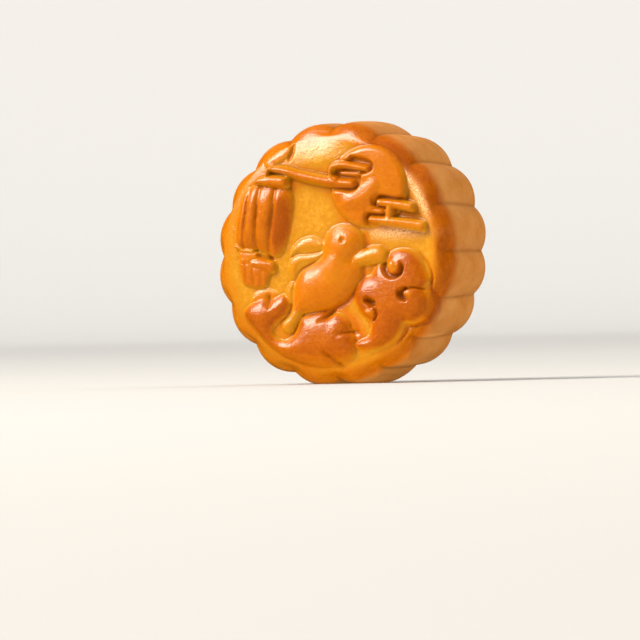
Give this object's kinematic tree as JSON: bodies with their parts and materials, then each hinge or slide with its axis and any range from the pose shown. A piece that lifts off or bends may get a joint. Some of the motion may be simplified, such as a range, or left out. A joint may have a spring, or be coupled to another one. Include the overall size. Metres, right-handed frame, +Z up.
{
  "type": "mooncake",
  "caption": "Baked moulded mooncake with a scalloped wall and a pressed picture of moon, lantern, rabbit and clouds, stood upright on its rim.",
  "frame": {"origin": "on the surface that the cake stands on, below its middle", "axes": "+Z up, -Y out of the moulded face, +Y out of the flat base, X across the face with +X to the right as the face is seen"},
  "size_m": [0.076, 0.0307, 0.0752],
  "materials": {
    "baked_crust": "egg-glazed baked pastry, glossy on the relief and matte on the wall"
  },
  "bodies": {
    "root": {"mooncake": "baked_crust"}
  },
  "joints": []
}
